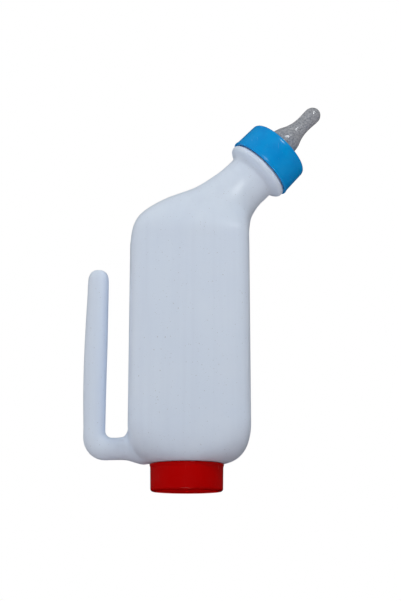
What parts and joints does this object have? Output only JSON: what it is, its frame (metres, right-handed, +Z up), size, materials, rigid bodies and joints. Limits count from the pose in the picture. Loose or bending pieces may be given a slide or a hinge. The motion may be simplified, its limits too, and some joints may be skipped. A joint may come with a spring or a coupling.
{
  "type": "calf feeding bottle",
  "caption": "Squeezable jug-shaped calf feeding bottle with a slanted neck, screwed teat collar, soft teat, open hook handle and a wide screwed base cap.",
  "frame": {"origin": "centre of the base cap's flat underside, where the bottle stands", "axes": "+Z up, +X from the handle's side to the teat's side, +Y across the body"},
  "size_m": [0.2142, 0.0884, 0.3527],
  "materials": {
    "hdpe_natural": "natural milky polyethylene, satin",
    "collar_blue": "bright blue moulded polypropylene, semi-gloss",
    "teat_silicone": "clear soft silicone, glossy",
    "base_cap_red": "deep red moulded polypropylene, semi-gloss",
    "liner_white": "soft white sealing disc, matt"
  },
  "bodies": {
    "bottle": {"bottle_body": "hdpe_natural"},
    "teat": {"teat": "teat_silicone"},
    "collar": {"teat_collar": "collar_blue"},
    "base_liner": {"base_cap_liner": "liner_white"},
    "base_cap": {"base_cap": "base_cap_red"}
  },
  "joints": [
    {"name": "collar_lift", "type": "slide", "parent": "bottle", "child": "teat", "axis": [0.6884, 0, 0.7254], "range_m": [0, 0.025]},
    {"name": "collar_turn", "type": "hinge", "parent": "teat", "child": "collar", "pos_m": [0.0662, 0, 0.2928], "axis": [0.6884, 0, 0.7254], "range_deg": [0, 1800]},
    {"name": "base_cap_lift", "type": "slide", "parent": "bottle", "child": "base_liner", "axis": [0, 0, -1], "range_m": [0, 0.025]},
    {"name": "base_cap_turn", "type": "hinge", "parent": "base_liner", "child": "base_cap", "pos_m": [0, 0, 0], "axis": [0, 0, -1], "range_deg": [0, 1800]}
  ],
  "couplings": [
    {"joint": "collar_lift", "follows": "collar_turn", "m_per_rad": 0.00079577},
    {"joint": "base_cap_lift", "follows": "base_cap_turn", "m_per_rad": 0.00079577}
  ]
}
